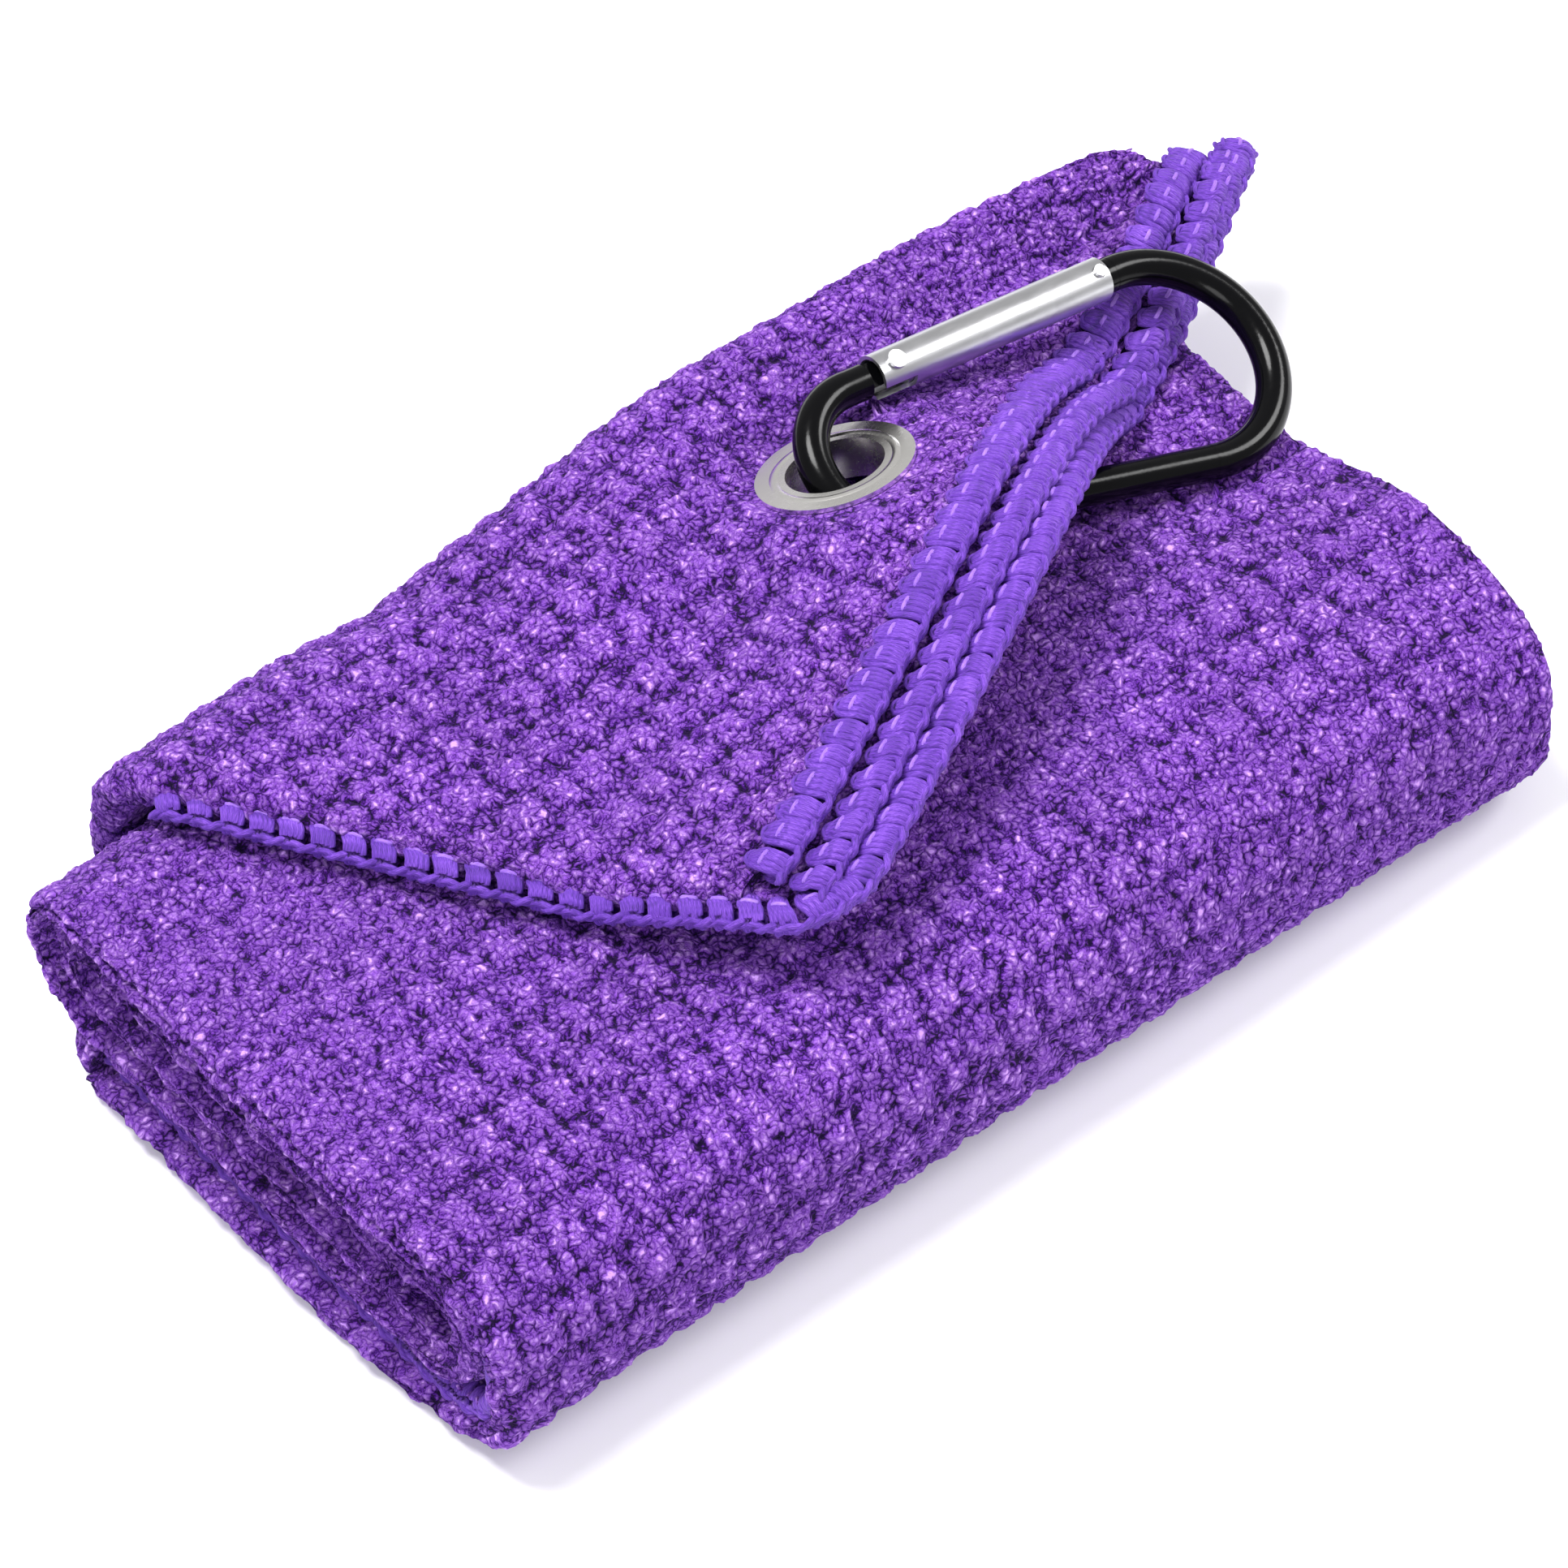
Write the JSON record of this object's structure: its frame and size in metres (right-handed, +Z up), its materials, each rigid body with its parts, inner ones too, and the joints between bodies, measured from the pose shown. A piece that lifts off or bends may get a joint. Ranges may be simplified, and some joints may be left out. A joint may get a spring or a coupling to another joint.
{
  "type": "golf towel",
  "caption": "Waffle-weave towel folded in three and rolled flat, its hemmed end laid back as a flap with an eyelet and a sprung-gate carabiner clip.",
  "frame": {"origin": "centre of the roll's base, on the surface it lies on", "axes": "+X along the roll, +Y from its front fold to its back fold, +Z up"},
  "size_m": [0.1643, 0.0828, 0.0435],
  "materials": {
    "waffle_cloth": "soft waffle weave with curled pile",
    "overlock_yarn": "smooth bulked yarn in overlock stitches",
    "nickel_steel": "nickel plate, satin bright",
    "black_aluminium": "black gloss anodised",
    "bright_aluminium": "drawn tube, bright satin",
    "rivet_steel": "peened",
    "spring_steel": "plain wire"
  },
  "bodies": {
    "roll": {"roll_outer_turn": "waffle_cloth", "roll_inner_turn": "waffle_cloth", "roll_core_turn": "waffle_cloth", "back_fold": "waffle_cloth", "roll_left_hem": "overlock_yarn", "roll_right_hem": "overlock_yarn"},
    "flap": {"flap_top_ply": "waffle_cloth", "flap_middle_ply": "waffle_cloth", "flap_bottom_ply": "waffle_cloth", "hem_top": "overlock_yarn", "hem_middle": "overlock_yarn", "hem_bottom": "overlock_yarn", "flap_side_hem": "overlock_yarn", "eyelet": "nickel_steel", "eyelet_washer": "nickel_steel"},
    "clip": {"clip_frame": "black_aluminium"},
    "gate": {"gate_tube": "bright_aluminium", "gate_rivet": "rivet_steel", "latch_pin": "rivet_steel", "gate_spring": "spring_steel"},
    "plunger": {"gate_plunger": "spring_steel"}
  },
  "joints": [
    {"name": "flap_lift", "type": "hinge", "parent": "roll", "child": "flap", "pos_m": [0, 0.0412, 0.0205], "axis": [-1, 0, 0], "range_deg": [0, 110]},
    {"name": "clip_swivel", "type": "hinge", "parent": "flap", "child": "clip", "pos_m": [0.0209, 0.0165, 0.0356], "axis": [0, -0.4147, -0.91], "range_deg": [0, 30]},
    {"name": "gate_swing", "type": "hinge", "parent": "clip", "child": "gate", "pos_m": [0.03383, 0.02355, 0.03558], "axis": [-0.1503, 0.3702, -0.9167], "range_deg": [0, 12], "stiffness_Nm_per_rad": 0.02, "springref_deg": -17.19},
    {"name": "plunger_slide", "type": "slide", "parent": "gate", "child": "plunger", "axis": [0.9846, -0.0278, -0.1727], "range_m": [0, 0.000353], "deforming": ["gate_spring"]}
  ],
  "couplings": [
    {"joint": "plunger_slide", "follows": "gate_swing", "m_per_rad": 0.0014}
  ]
}
